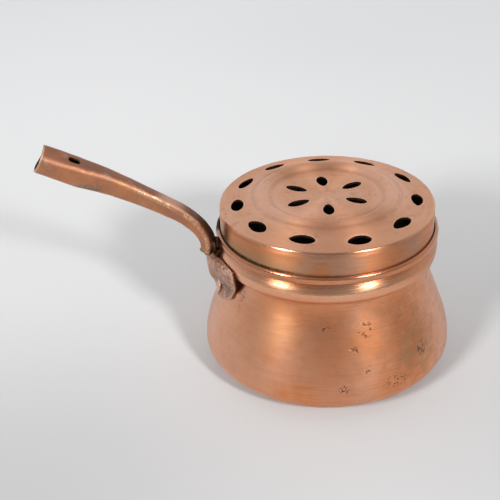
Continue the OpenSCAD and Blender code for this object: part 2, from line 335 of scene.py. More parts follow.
# %% The pot's outline
BASE_R, BELLY_R, BELLY_Z = 52.4, 71.6, 13.6
NECK_R, NECK_Z, SHEET = 57.5, 67.0, 1.3
MOUTH_R, RIM_R, SWELL = 60.8, 62.1, 0.5
GROOVE_Z, RIM_Z, LEDGE_Z = 80.4, 84.8, 69.2
BASE_FULLNESS, GROOVE_IN, GROOVE_BEND, LIP_FULLNESS = 1.09, 1.0, 2.4, 0.6


def mix(a, b, t):
    return a + (b - a) * t


def steps(count, start=0):
    """Fractions from 0 to 1."""
    return [i / count for i in range(start, count + 1)]


def quarter(count, start=0):
    """Angles from 0 to a quarter turn."""
    return [t * math.pi / 2 for t in steps(count, start)]


def ease(t):
    """From 0 to 1 with a soft start and a soft end."""
    t = min(1.0, max(0.0, t))
    return t * t * (3.0 - 2.0 * t)


def wall_r(z):
    return mix(BELLY_R, NECK_R, ease((z - BELLY_Z) / (NECK_Z - BELLY_Z)))


def wall_lean(z):
    """How far the wall's outward direction tips up, in radians."""
    return math.atan((wall_r(z - 0.05) - wall_r(z + 0.05)) / 0.1)


def body_line(depth):
    """The pot from its base to its neck, drawn in by a depth square to the sheet."""
    low = []
    for a in quarter(24)[:-1]:
        low.append((BASE_R + (BELLY_R - BASE_R) * math.sin(a) ** BASE_FULLNESS - depth * math.sin(a),
                    BELLY_Z * (1 - math.cos(a) ** BASE_FULLNESS) + depth * math.cos(a)))
    wall = []
    for t in steps(52):
        z = mix(BELLY_Z, NECK_Z, t)
        wall.append((wall_r(z) - depth * math.cos(wall_lean(z)), z - depth * math.sin(wall_lean(z))))
    return low + wall


def bead_line():
    turn_h = (GROOVE_Z - NECK_Z) / 3
    foot = [(mix(NECK_R, RIM_R, math.sin(a)), NECK_Z + turn_h * (1 - math.cos(a))) for a in quarter(14, 1)]
    swell = [(RIM_R + SWELL * math.sin(t * math.pi) - GROOVE_IN * t ** GROOVE_BEND,
              mix(NECK_Z + turn_h, GROOVE_Z, t)) for t in steps(20, 1)]
    return foot + swell


def lip_line():
    turns = [-math.pi / 2 + math.pi * t for t in steps(20, 1)]
    return [(mix(MOUTH_R, RIM_R + SWELL, max(0.0, math.cos(a)) ** LIP_FULLNESS),
             mix(GROOVE_Z, RIM_Z, (1 + math.sin(a)) / 2)) for a in turns]


def fill(points, gap):
    """Adds points so that no step along a line is longer than a gap."""
    dense = [points[0]]
    for a, b in zip(points, points[1:]):
        count = max(1, math.ceil(math.dist(a, b) / gap))
        dense += [tuple(mix(p, q, t) for p, q in zip(a, b)) for t in steps(count, 1)]
    return dense


inner = body_line(SHEET)
pot_outline = fill([(0, 0)] + body_line(0) + bead_line() + lip_line()
                   + [(MOUTH_R, LEDGE_Z), (inner[-1][0], LEDGE_Z)] + inner[::-1] + [(0, SHEET)], 3.0)
print("pot outline:", len(pot_outline), "points, widest", max(r for r, z in pot_outline))

# %% Spin the pot
metal = {name: bpy.data.materials.new(name) for name in (
    "pot_copper", "lid_copper", "handle_copper", "tab_copper", "rivet_copper", "burnt_braze", "old_soot")}
pot = spin("spun_pot", pot_outline, Steps_round=300, Dent_depth=0.00035, Dent_size=0.035, Seed=3,
           Material=metal["pot_copper"])
keep_result(pot)

# %% [markdown]
# ## The lid
# The lid is spun as the pot is. Its deep skirt slides into the mouth and stands on the ledge. On
# top, a hollow border climbs from the edge to a raised ring, and the middle lies a little lower.

# %% The lid's outline
LID_R, LID_Z, SKIRT_H, EDGE = 60.0, 98.5, 29.0, 1.5
RING_OUT, RING_IN, RING_H, RISE, DROP = 41.5, 31.0, 2.2, 4.1, 0.8
HOLLOW, THICK_CORNER = 1.5, 0.5


def lid_top(r):
    """Height of the lid's top face above its edge."""
    if r >= RING_OUT:
        return RISE * ((LID_R - r) / (LID_R - RING_OUT)) ** HOLLOW
    t = (r - RING_IN) / (RING_OUT - RING_IN)
    if t > 0:
        return RISE - DROP * (1 - ease(t)) + RING_H * (1 - math.cos(math.tau * t)) / 2
    return RISE - DROP


def lid_outline():
    top = [(LID_R - EDGE) * t for t in steps(108)]
    edge_z = lid_top(LID_R - EDGE)
    turn = [(LID_R - EDGE * (1 - math.sin(a)), edge_z - EDGE * (1 - math.cos(a))) for a in quarter(6, 1)]
    inside = LID_R - SHEET
    under = [r for r in reversed(top[::2]) if r < inside - EDGE]
    outline = ([(r, lid_top(r)) for r in top] + turn
               + [(LID_R, -SKIRT_H), (inside, -SKIRT_H), (inside, lid_top(inside) - SHEET - THICK_CORNER)]
               + [(r, lid_top(r) - SHEET) for r in under])
    return [(r, z + LID_Z) for r, z in fill(outline, 2.0)]


lid = spin("spun_lid", lid_outline(), Steps_round=384, Dent_depth=0.00025, Dent_size=0.025, Seed=8,
           Material=metal["lid_copper"])
print("lid outline:", len(lid_outline()), "points")

# %% [markdown]
# ## The piercing
# The maker marked the holes out by eye and cut them with a chisel from above. So their spacing
# drifts, no two are quite alike, and each rim is pressed down a little. One recipe cuts a ring
# of such holes: it stands almond-shaped cutters round the lid, presses the sheet down near them,
# and takes them out with a Boolean. It runs twice, for the border and for the petals.

# %% A recipe that pierces a ring of holes
def chance(tree, low, high, seed, **where):
    """A random number from low to high for each point."""
    return add(tree, "FunctionNodeRandomValue", {2: low, 3: high, "Seed": seed, **where}, out=1,
               data_type="FLOAT")


def almond_cutter(tree, length, width):
    """A cylinder drawn out into an almond, with one end a little blunter."""
    drum = add(tree, "GeometryNodeMeshCylinder",
               {"Vertices": 48, "Side Segments": 1, "Fill Segments": 1, "Radius": 1.0, "Depth": 0.02})
    x, y, z = parts_of(add(tree, "GeometryNodeInputPosition"))
    side = y.sum("SIGN") * (abs(y) ** 1.2)
    blunt = 1.0 + x * 0.12
    return move(drum, Position=vector_of(tree, x * length * 0.5, side * width * 0.5 * blunt, z))


def piercing_recipe():
    tree, size = new_tree("Pierced ring", {
        "Holes": 11, "Radius": 0.0504, "Length": 0.014, "Width": 0.0068, "First hole": 0.0,
        "Turned": 0.0, "Drift": 0.03, "Slip": 0.0006, "Seed": 1, "Material": "material"}, takes_mesh=True)
    spots = add(tree, "GeometryNodePoints", {"Count": size["Holes"]})
    number = add(tree, "GeometryNodeInputIndex")

    def slip(low, high, shift):
        return chance(tree, low, high, size["Seed"] + shift, ID=number)

    # The cutters' places: evenly round a ring, with a slow drift and small slips of the hand
    even = size["First hole"] + number * math.tau / size["Holes"]
    angle = even + (even - 0.6).cos() * size["Drift"] + slip(-0.01, 0.01, 0)
    radius = size["Radius"] + size["Slip"] * slip(-1.0, 1.0, 1)
    placed = move(spots, Position=round_axis(radius, angle, LID_Z * MM))
    stretch = vector_of(tree, slip(0.94, 1.03, 2), slip(0.92, 1.06, 3), 1.0)
    turn = vector_of(tree, 0.0, 0.0, angle + size["Turned"] + slip(-0.05, 0.05, 4))
    almond = almond_cutter(tree, size["Length"], size["Width"])
    cutters = add(tree, "GeometryNodeRealizeInstances", {0: add(
        tree, "GeometryNodeInstanceOnPoints",
        {"Points": placed, "Instance": almond, "Rotation": turn, "Scale": stretch})})
    # The pressed rims: the nearer to a cutter, the lower the sheet and the brighter its wear, with a
    # painted glint
    gap = add(tree, "GeometryNodeProximity", {0: cutters}, out="Distance", target_element="FACES")
    close = (gap * -1600.0).sum("EXPONENT")
    sunk = move(size["Geometry"], Offset=vector_of(tree, 0.0, 0.0, close * -0.0003))
    marked = store(sunk, "rim_wear", stored(tree, "rim_wear").sum("MAXIMUM", close))
    cut = add(tree, "GeometryNodeMeshBoolean", {"Mesh 1": marked, "Mesh 2": cutters},
              operation="DIFFERENCE", solver="MANIFOLD")
    return end_tree(smooth_but_creased(cut), size["Material"])


pierced_ring = piercing_recipe()
run_tree(lid, pierced_ring, Holes=11, Radius=0.0503, Length=0.014, Width=0.0068,
         First_hole=math.radians(14.8), Turned=math.pi / 2, Drift=0.035, Slip=0.0009, Seed=5,
         Material=metal["lid_copper"])
run_tree(lid, pierced_ring, Holes=6, Radius=0.018, Length=0.013, Width=0.006,
         First_hole=math.radians(22.5), Turned=0.0, Drift=0.06, Slip=0.0008, Seed=11,
         Material=metal["lid_copper"])
keep_result(lid)

# %% [markdown]
# ## Bent sheet
# The handle and its tab are flat sheet, cut out and then bent across a line. So both come from one
# recipe. It walks along a path in the plane of the handle; at each point of the path it knows the
# slope, how tightly the sheet is curled there, and half its width. The tube is simply sheet that
# is curled until its edges nearly meet under it. It is a little squared by the hammer: one soft
# corner runs along its near side.

# %% A recipe that bends sheet along a path
def bending_recipe():
    tree, size = new_tree("Bent sheet", {
        "Path": "object", "Steps across": 48, "Squared": 0.0, "Far side flat": 0.0,
        "Dent depth": 0.0, "Dent size": 0.01, "Seed": 1, "Material": "material"})
    grid, across, out, up, along = grid_along(tree, size["Path"], size["Steps across"])
    slope, curl = along("slope"), along("curl")
    half = along("half") + (along("near half") - along("half")) * across.sum("LESS_THAN", 0.5)
    # How far round the curl each point lies, and how far round it lies from the soft corner
    turned = curl * half * (across * 2.0 - 1.0)
    off_corner = turned - along("corner")
    radius = (1.0 + ((off_corner * 4.0).cos() - 1.0) * size["Squared"] * 0.5) / curl
    far_side = (turned / curl).ramp(0.0, 0.006)
    near_side = (turned / curl).ramp(0.0, -0.006)
    depth = (1.0 / curl - radius * turned.cos()) * (
        1.0 - far_side * size["Far side flat"] + near_side * (along("wrap") - 1.0))
    aside = radius * turned.sin()
    out = out + along("stand off") * aside.ramp(0.001, 0.015)
    place = vector_of(tree, (out + depth * slope.sin()) * -1.0, aside, up - depth * slope.cos())
    # Marks for the finish, stored while the grid is still flat
    inward = abs(across - 0.5)
    marks = {"corner_wear": off_corner.cos(), "above_corner": off_corner.sin(),
             "seam_dirt": inward.ramp(0.47, 0.498),
             "edge_wear": (half * (1.0 - inward * 2.0)).ramp(0.0012, 0.0005)}
    marked = grid
    for label, value in marks.items():
        marked = store(marked, label, value)
    bent = move(marked, Position=place)
    here = add(tree, "GeometryNodeInputPosition")
    dent = wander(here, size["Dent size"], size["Seed"]) * size["Dent depth"]
    push = vector_sum("SCALE", add(tree, "GeometryNodeInputNormal"), dent)
    return end_tree(smooth_but_creased(move(bent, Offset=push)), size["Material"])


bent_sheet = bending_recipe()

# %% [markdown]
# ## The handle
# The tube climbs from beside the rim, bends outwards, and runs out and up to an open mouth for a
# wooden grip. Its path is two smooth curves that meet at the end of the bend, and it widens from
# 8 mm beside the rim to 15 mm at the mouth.

# %% The handle's path
SHEET_OFF, TUBE_LOW, MOUTH_TILT, BEND_TILT = 0.65, 72.9, math.radians(28), math.radians(34.5)
RIM_SPINE = Vector((63.65, 78.4))
TIP = Vector((149.2, 147.1))
BEND_OUT, BEND_UP, STRAIGHT = 19.3, 28.3, 24.0
ROOT_TUBE, WAIST_TUBE, MOUTH_TUBE, SEAM = 3.75, 4.55, 7.1, 0.5
ASKEW, ASKEW_LONG = 4.5, 14.0


def heading(angle):
    return Vector((math.cos(angle), math.sin(angle)))


def link(start, start_angle, end, end_angle, pull):
    """The four points of a curve that leaves and arrives at given angles."""
    return [start, start + pull * heading(start_angle), end - pull * heading(end_angle), end]


def bezier(p, t):
    return (1 - t) ** 3 * p[0] + 3 * (1 - t) ** 2 * t * p[1] + 3 * (1 - t) * t * t * p[2] + t ** 3 * p[3]


def bezier_slope(p, t):
    d = (1 - t) ** 2 * (p[1] - p[0]) + 2 * (1 - t) * t * (p[2] - p[1]) + t * t * (p[3] - p[2])
    return math.atan2(d.y, d.x)


def tube_path():
    """Places, slopes and radii from beside the rim to the mouth."""
    mouth_start = TIP - STRAIGHT * heading(MOUTH_TILT)
    bend_end = RIM_SPINE + Vector((BEND_OUT, BEND_UP))
    bend = link(RIM_SPINE, math.pi / 2, bend_end, BEND_TILT, 0.4 * BEND_UP)
    arm = link(bend_end, BEND_TILT, mouth_start, MOUTH_TILT, (mouth_start - bend_end).length / 3)
    path = [(Vector((RIM_SPINE.x, mix(TUBE_LOW, RIM_SPINE.y, t))), math.pi / 2, ROOT_TUBE)
            for t in steps(12)[:-1]]
    for curve, count, thin, wide, widening in (
            (bend, 48, ROOT_TUBE, WAIST_TUBE, 1), (arm, 60, WAIST_TUBE, MOUTH_TUBE, 1.5)):
        path += [(bezier(curve, t), bezier_slope(curve, t), mix(thin, wide, t ** widening))
                 for t in steps(count)[:-1]]
    path += [(mouth_start + STRAIGHT * t * heading(MOUTH_TILT), MOUTH_TILT, MOUTH_TUBE) for t in steps(34)]
    return path


def row(place, slope, curl, half, near=None, wrap=1.0, stand=0.0):
    """One row of a bent sheet, from millimetres: curl is 1 over its radius, half is half its width.
    The near side may be wider (near) and bent deeper (wrap), the far side may stand off (stand)."""
    return {"place": place, "slope": slope, "curl": curl / MM, "half": half * MM,
            "near half": (near or half) * MM, "wrap": wrap, "stand off": stand * MM}


def sheet_line(name, rows, corner):
    """Rows as a guide line. corner gives the soft corner's angle from the distance to the end."""
    points = [(r["place"].x, 0.0, r["place"].y) for r in rows]
    run = meridian_of(points)
    values = {label: [r[label] for r in rows] for label in rows[0] if label != "place"}
    print(name, "is", round(run[-1] / MM, 1), "mm long, in", len(rows), "rows")
    return line_object(name, points, corner=[corner(run[-1] - far) for far in run], **values)


def tube_corner(to_tip):
    """Where the tube's soft corner lies, as an angle from its top towards -Y."""
    return -math.radians(52 + 32 * ((to_tip - 0.05) / 0.05) ** 2)


tube = tube_path()
tube_rows = []
for place, slope, r in tube:
    # The saw went a little askew: the mouth is shorter on its far side
    askew = -ASKEW * ease(1 - (tube[-1][0] - place).length / ASKEW_LONG)
    tube_rows.append(row(place, slope, 1 / r, math.pi * r - SEAM / 2, stand=askew))
tube_line = sheet_line("tube_path", tube_rows, tube_corner)

# %% [markdown]
# The saw that cut the tube's lower end left it slanted and ragged. A second recipe, run on the
# bent sheet, pulls its lowest rows up to such a line. Cutting it with a Boolean would do too, but
# moved rows keep the mesh even.

# %% Cut the lower end
SLANT, SLANT_FROM = 0.364, 63.0


def end_cutting_recipe():
    tree, size = new_tree("Ragged cut", {
        "Low": TUBE_LOW * MM, "Upright to": RIM_SPINE.y * MM, "Slant": SLANT, "Start": SLANT_FROM * MM,
        "Ragged": 0.0004, "Seed": 1, "Material": "material"}, takes_mesh=True)
    x, y, z = parts_of(add(tree, "GeometryNodeInputPosition"))
    rough = wander(vector_of(tree, x, y, 0.0), 0.0022, size["Seed"]) * size["Ragged"]
    line = size["Low"] + (x * -1.0 - size["Start"]) * size["Slant"] + rough
    share = (z - size["Low"]) / (size["Upright to"] - size["Low"])
    lift = (line - size["Low"]) * (1.0 - share)
    moved = move(size["Geometry"], Selection=z.sum("LESS_THAN", size["Upright to"]),
                 Offset=vector_of(tree, 0.0, 0.0, lift))
    return end_tree(moved, size["Material"])


ragged_cut = end_cutting_recipe()

# %% [markdown]
# Now the handle is put together. The bent sheet is a surface without thickness; a Solidify
# modifier gives it 1.3 mm, a Bevel softens its edges, and a Boolean cuts the slotted hole for the
# pin that held the grip. A hole that is cut last stays crisp.

# %% Bend the handle
PIN_LONG, PIN_WIDE, PIN_DEEP, PIN_IN, PIN_TURN = 6.6, 3.6, 12.0, 17.0, math.radians(-21)


def finish_sheet(piece, thickness, edge, hole=None):
    """Gives a bent surface its thickness, softens its edges, and cuts its hole."""
    solid = piece.modifiers.new("thickness", "SOLIDIFY")
    solid.thickness, solid.offset, solid.use_even_offset = thickness * MM, 0.0, True
    soft = piece.modifiers.new("soft edges", "BEVEL")
    soft.width, soft.segments = edge * MM, 3
    soft.limit_method, soft.angle_limit = "ANGLE", math.radians(50)
    if hole:
        cut = piece.modifiers.new("hole", "BOOLEAN")
        cut.object, cut.solver = hole, "MANIFOLD"
    keep_result(piece)


def slot_cutter(name, place, count=40):
    """A round-ended slot for the pin: long along local Z, and deep along local X."""
    rim = [math.tau * i / count for i in range(count)]
    r, straight = PIN_WIDE / 2, (PIN_LONG - PIN_WIDE) / 2
    flat = [(r * math.cos(a), r * math.sin(a) + math.copysign(straight, math.sin(a))) for a in rim]
    points = [(depth, y, z) for depth in (0.0, PIN_DEEP) for y, z in flat]
    ends = [tuple(range(count))[::-1], tuple(range(count, 2 * count))]
    sides = [(i, (i + 1) % count, count + (i + 1) % count, count + i) for i in range(count)]
    return new_guide(name, points, [], ends + sides, place)


centre = TIP + MOUTH_TUBE * Vector((math.sin(MOUTH_TILT), -math.cos(MOUTH_TILT)))
mouth = (-centre.x * MM, 0.0, centre.y * MM)
at_pin = (Matrix.Translation(mouth) @ Matrix.Rotation(MOUTH_TILT - math.pi / 2, 4, "Y")
          @ Matrix.Rotation(PIN_TURN, 4, "Z") @ Matrix.Translation((0, 0, -PIN_IN * MM)))
handle = new_piece("rolled_handle")
run_tree(handle, bent_sheet, Path=tube_line, Steps_across=72, Squared=0.11, Dent_depth=0.00025,
         Dent_size=0.009, Seed=4, Material=metal["handle_copper"])
run_tree(handle, ragged_cut, Ragged=0.0005, Seed=6, Material=metal["handle_copper"])
finish_sheet(handle, SHEET, 0.35, slot_cutter("pin_cutter", at_pin))

# %% [markdown]
# ## The tab
# The tab is a shield-shaped plate. It lies on the pot's neck round its rivet, then leans out to
# the tube, and a narrow tongue goes up into the tube. Its near side was hammered down on to the
# neck, and over the bead above, which it clears by about half a millimetre. Its face is pitted, as
# poorly cleaned brazed copper is.

# %% The tab's outline
TAB_LOW, TAB_MID, TAB_TOP, TAB_W, TAB_CURVE, RIVET_Z = 45.8, 62.0, 73.8, 51.0, 36.0, 50.0
NEAR_W, NEAR_MID, TONGUE_HALF, TONGUE_LONG, FAR_OUT = 28.0, 67.0, 2.5, 5.0, 65.8
TAB_START, TAB_END, UNDER_TAB = math.radians(64), math.radians(83), 0.3
LEAVE_Z = RIVET_Z + 3.5
TONGUE_R = RIM_SPINE.x + ROOT_TUBE + SHEET_OFF


def rounded(start, end, z, power, root):
    """An outline's share of its full width: 1 at the start, falling to 0 at the end."""
    return max(0.0, 1 - ((z - start) / (end - start)) ** power) ** root


def tab_half(z):
    """The far side's width, which is half of the shield."""
    if z < TAB_MID:
        return max(0.8, TAB_W / 2 * rounded(TAB_MID, TAB_LOW, z, 1.3, 0.5))
    return max(TONGUE_HALF, TAB_W / 2 * rounded(TAB_MID, TAB_TOP, z, 3, 1 / 3))


def near_half(z):
    """The near side is narrower by the rivet, and widest where it passes over the bead."""
    if z < NEAR_MID:
        return max(0.8, NEAR_W * rounded(NEAR_MID, TAB_LOW, z, 1.5, 0.6))
    shoulder = NEAR_W * rounded(NEAR_MID, TAB_TOP, z, 8, 0.42)
    return max(shoulder, mix(4.6, TONGUE_HALF, ease((z - 71.0) / 2.5)))


print("the tab's two sides at its rivet:", round(tab_half(RIVET_Z), 1), round(near_half(RIVET_Z), 1))

# %% Bend the tab
def seat(z):
    """Where the plate's middle lies when it lies on the wall."""
    return Vector((wall_r(z) + (UNDER_TAB + SHEET_OFF) / math.cos(wall_lean(z)), z))


def tab_curl(z):
    """Bent the other way than the tube: round the neck below, and tighter above."""
    up = min(1.0, max(0.0, (z - LEAVE_Z) / (TAB_TOP - LEAVE_Z)))
    return -mix(1 / seat(TAB_LOW).x, 1 / TAB_CURVE, up)


def clear_r(z):
    """The radius at which a sheet clears the neck, and the bead above it."""
    return wall_r(min(z, NECK_Z)) + (RIM_R + 0.8 - NECK_R) * ease((z - 54.0) / 16.0)


def tab_wrap(p, slope):
    """How much deeper the near side is bent than its curl says, so that its edge comes down to
    the neck or the bead without touching it."""
    curl, half = tab_curl(p.y), near_half(p.y)
    off, side = (1 - math.cos(curl * half)) / curl, math.sin(curl * half) / curl
    for more in (4 * t for t in steps(160)):
        x = p.x + (1 + more) * off * math.sin(slope)
        z = p.y - (1 + more) * off * math.cos(slope)
        if math.hypot(x, side) < clear_r(z) + SHEET_OFF - UNDER_TAB:
            break
    return 1 + more


def tab_row(p, slope):
    """A row of the plate. Its far side stands off the neck."""
    stand = max(0.0, FAR_OUT - p.x) * ease((p.y - TAB_LOW) / 6.0)
    return row(p, slope, tab_curl(p.y), tab_half(p.y), near_half(p.y), tab_wrap(p, slope), stand)


def tab_path():
    """Down on the wall first, then out to the tube, and up into it as a tongue."""
    low, top = seat(LEAVE_Z), Vector((TONGUE_R, TAB_TOP))
    curve = [low, low + 4.0 * heading(TAB_START), top - 9.0 * heading(TAB_END), top]
    on_wall = [mix(LEAVE_Z, TAB_LOW, math.sin(math.pi / 2 * (1 - t))) for t in steps(24)[:-1]]
    leaning = [1 - (1 - t) ** 1.6 for t in steps(60)]
    tongue = [Vector((TONGUE_R, TAB_TOP + TONGUE_LONG * t)) for t in steps(6, 1)]
    return ([tab_row(seat(z), math.pi / 2 + wall_lean(z)) for z in on_wall]
            + [tab_row(bezier(curve, t), bezier_slope(curve, t)) for t in leaning]
            + [row(p, math.pi / 2, tab_curl(TAB_TOP), TONGUE_HALF) for p in tongue])


tab_line = sheet_line("tab_path", tab_path(), lambda to_tip: 0.0)
tab = new_piece("bent_tab")
run_tree(tab, bent_sheet, Path=tab_line, Steps_across=72, Far_side_flat=1.1, Dent_depth=0.00016,
         Dent_size=0.004, Seed=9, Material=metal["tab_copper"])
finish_sheet(tab, SHEET, 0.4)

# %% [markdown]
# ## The rivet
# One rivet goes through the tab and the wall. Its outer head was hammered round by hand.

# %% Spin the rivet
RIVET_R, FOOT_R, HEAD_R, RIVET_PLAY = 2.5, 4.0, 3.9, 0.5


def rivet_outline():
    """From the inner head through the wall to the outer head, along the rivet's own axis."""
    face, wall = UNDER_TAB + SHEET + RIVET_PLAY, -SHEET - RIVET_PLAY
    foot = [(FOOT_R * math.sin(a), wall - 1.1 * mix(0.35, 1, math.cos(a))) for a in quarter(16)]
    dome = [(HEAD_R * math.cos(a), face + 1.5 * mix(0.35, 1, math.sin(a))) for a in quarter(16)]
    return foot + [(FOOT_R, wall), (RIVET_R, wall), (RIVET_R, face), (HEAD_R, face)] + dome


rivet = spin("hammered_rivet", rivet_outline(), Steps_round=64, Dent_depth=0.0005, Dent_size=0.003,
             Seed=2, Material=metal["rivet_copper"])
at_rivet = (Matrix.Translation((-wall_r(RIVET_Z) * MM, 0, RIVET_Z * MM))
            @ Matrix.Rotation(wall_lean(RIVET_Z) - math.pi / 2, 4, "Y"))
keep_result(rivet, at_rivet)

# %% [markdown]
# ## The braze
# Brass was melted into the joint between the tube's cut end and the tab. It froze in lumps, with
# burnt flux on them. Small balls along the cut, melted into one skin, look like that: the recipe
# sets balls of random size along a path and wraps them in a volume. The same recipe makes a dark
# mass, from fatter balls along a line that climbs behind the tab, that fills the gap between the
# tube, the rim and the neck: soot and old solder, and a dark stand-in for the shade in that gap.

# %% Lumps along a line
def brazing_recipe():
    tree, size = new_tree("Brazed joint", {
        "Path": "object", "Lumps": 30, "Smallest": 0.0004, "Largest": 0.0009, "Scatter": 0.0004,
        "Seed": 1, "Material": "material"})
    line = add(tree, "GeometryNodeObjectInfo", {"Object": size["Path"]}, out="Geometry")
    curve = add(tree, "GeometryNodeMeshToCurve", {0: line})
    dots = add(tree, "GeometryNodeCurveToPoints", {"Curve": curve, "Count": size["Lumps"]}, mode="COUNT")
    low, high = (vector_of(tree, s, s, s) for s in (size["Scatter"] * -1.0, size["Scatter"]))
    shift = add(tree, "FunctionNodeRandomValue", {0: low, 1: high, "Seed": size["Seed"]},
                data_type="FLOAT_VECTOR")
    girth = chance(tree, size["Smallest"], size["Largest"], size["Seed"] + 1)
    ball = add(tree, "GeometryNodeMeshIcoSphere", {"Radius": 1.0, "Subdivisions": 3})
    balls = add(tree, "GeometryNodeRealizeInstances", {0: add(
        tree, "GeometryNodeInstanceOnPoints",
        {"Points": move(dots, Offset=shift), "Instance": ball, "Scale": girth})})
    cloud = add(tree, "GeometryNodeMeshToVolume",
                {"Mesh": balls, "Voxel Size": 0.00016, "Interior Band Width": 0.001},
                resolution_mode="VOXEL_SIZE")
    skin = add(tree, "GeometryNodeVolumeToMesh",
               {"Volume": cloud, "Voxel Size": 0.0002, "Threshold": 0.1}, resolution_mode="VOXEL_SIZE")
    soft = add(tree, "GeometryNodeSetShadeSmooth", {"Geometry": skin, "Shade Smooth": True})
    return end_tree(soft, size["Material"])


brazed = brazing_recipe()

# %% Braze the joint and fill the gap
def cut_end(turn, in_by=0.2):
    """A point just inside the tube's slanted lower end, at a turn from its outer side."""
    r = RIM_SPINE.x + ROOT_TUBE + (ROOT_TUBE - in_by) * math.cos(turn)
    return (-r, (ROOT_TUBE - in_by) * math.sin(turn), TUBE_LOW + (r - SLANT_FROM) * SLANT - 0.35)


braze_line = line_object("braze_path", [cut_end(math.radians(a)) for a in range(-140, 141, 10)])
gap_line = line_object("gap_path", [(-61.6, 2, 64), (-62.4, 1, 67.5), (-64.5, 1.5, 70), (-63.5, -0.5, 72.5),
                                    (-63.2, -2, 68.6), (-63.4, 0, 75), (-63.0, 0, 79), (-63.0, 0.5, 82)])
braze, gap_fill = new_piece("brazed_joint"), new_piece("filled_gap")
run_tree(braze, brazed, Path=braze_line, Lumps=30, Smallest=0.0005, Largest=0.0014, Scatter=0.0006,
         Seed=5, Material=metal["burnt_braze"])
run_tree(gap_fill, brazed, Path=gap_line, Lumps=76, Smallest=0.0005, Largest=0.0018, Scatter=0.0007,
         Seed=3, Material=metal["old_soot"])
keep_result(braze)
keep_result(gap_fill)

# %% [markdown]
# ## Finishes
# Old copper is one metal with many skins: bright where hands and the lid rub it, brown where air
# has worked on it, pink where it was brazed, green where salt and damp stay. Each finish below
# starts from the bare metal's colour and lays these skins over it by masks, and some masks paint
# light and shade into the colour as well. A mask is a number from 0 to 1 made of noise, of height,
# or of a mark that a recipe left on the mesh. An image could hold all this too, but a procedural
# finish stays sharp at any size.

# %% Tools for finishes
def finish_of(name, roughness, **more):
    """The tree, the shader, and the place on the object, for a metal."""
    metal[name].use_nodes = True
    tree = metal[name].node_tree
    shader = tree.nodes["Principled BSDF"]
    feed(shader, {"Metallic": 1.0, "Roughness": roughness, "Anisotropic Rotation": 0.25})
    feed(shader, {label.replace("_", " "): value for label, value in more.items()})
    return tree, shader, add(tree, "ShaderNodeTexCoord", out="Object")


def rgb(red, green, blue):
    return (red, green, blue, 1.0)


def blend(first, second, mask):
    """A colour that goes from the first to the second where the mask is 1."""
    return add(mask.tree, "ShaderNodeMix", {0: mask, 6: first, 7: second}, out=2, data_type="RGBA")


def lay(colour, *coats):
    """Lays coats over a colour, each a colour and its mask. The last one lies on top."""
    for coat, mask in coats:
        colour = blend(colour, coat, mask)
    return colour


def clouds(place, size, seed, detail=2.0, rough=0.5):
    """Noise from 0 to 1 with features of about a size in metres."""
    keys = {"Vector": place, "W": seed * 3.7, "Scale": 1.0 / size, "Detail": detail, "Roughness": rough}
    return add(place.tree, "ShaderNodeTexNoise", keys, noise_dimensions="4D")


def mark(tree, name):
    """A number that a recipe stored on the mesh."""
    return add(tree, "ShaderNodeAttribute", out="Fac", attribute_name=name)


def at(wire, middle, inner, outer):
    """1 where a number is within inner of a middle, and 0 beyond outer."""
    return abs(wire - middle).ramp(outer, inner)


def near(place, spot, inner, outer, squash=(1, 1, 1)):
    """1 within inner millimetres of a spot in millimetres, and 0 beyond outer."""
    gap = vector_sum("SUBTRACT", place, tuple(c * MM for c in spot))
    return vector_sum("LENGTH", vector_sum("MULTIPLY", gap, squash)).ramp(outer * MM, inner * MM)


def both(*masks):
    """The stronger of some masks at each place."""
    result = masks[0]
    for other in masks[1:]:
        result = result.sum("MAXIMUM", other)
    return result


def relief(height, depth):
    """Bump from a height in 0 to 1 that stands for a depth in metres."""
    return add(height.tree, "ShaderNodeBump", {"Strength": 1.0, "Distance": depth, "Height": height})


print("tools for finishes are ready")

# %% [markdown]
# ## Lines, pits and scratches
# Three kinds of small marks serve several finishes. Brush lines are noise that is stretched round
# the axis. Pits and scratches come from a Voronoi texture, which splits space into random cells:
# a pit is a cell's middle and a scratch its edge. The place is pushed about a little first, so
# that no cell looks ruled.

# %% Small marks
def brush_lines(place, run, fine, length, seed):
    """Noise drawn out into lines round the axis: fine and length are in metres."""
    x, y, _ = parts_of(place)
    x, y, _ = parts_of(vector_sum("NORMALIZE", vector_of(place.tree, x, y, 0.0)))
    reach = 0.06 / length
    return clouds(vector_of(place.tree, x * reach, y * reach, run / fine), 1.0, seed, 2.0, 0.6)


def pushed(place, size, seed, reach):
    """The place, pushed in a random direction by up to reach metres."""
    keys = {"Vector": place, "W": seed * 1.9, "Scale": 1.0 / size, "Detail": 1.0}
    colour = add(place.tree, "ShaderNodeTexNoise", keys, "Color", noise_dimensions="4D")
    push = vector_sum("SCALE", vector_sum("SUBTRACT", colour, (0.5, 0.5, 0.5)), reach)
    return vector_sum("ADD", place, push)


def pits(place, size, seed):
    """Small sharp marks: 1 in the middle of a pit, 0 outside."""
    keys = {"Vector": pushed(place, size * 1.5, seed, size * 1.6), "Scale": 1.0 / size, "Randomness": 1.0}
    return add(place.tree, "ShaderNodeTexVoronoi", keys).ramp(0.36, 0.12)


def scratches(place, size, seed):
    """Short angular strokes: the edges of random cells, broken up by noise."""
    keys = {"Vector": pushed(place, size, seed, size * 1.2), "Scale": 1.0 / size}
    edge = add(place.tree, "ShaderNodeTexVoronoi", keys, "Distance", feature="DISTANCE_TO_EDGE")
    return edge.ramp(0.13, 0.05) * clouds(place, size * 0.7, seed, 1.0).ramp(0.48, 0.56)


print("marks are ready")

# %% [markdown]
# ## Spun and brushed copper
# The pot and the lid were scoured round and round, so they carry fine lines that draw each
# reflection out into a tall streak. The shader's own anisotropy gives the streak, and noise drawn
# out round the axis gives the lines. Clouds of brown and of pink film lie over it. Inside, both are
# black with soot from the point on where their outline turns in.

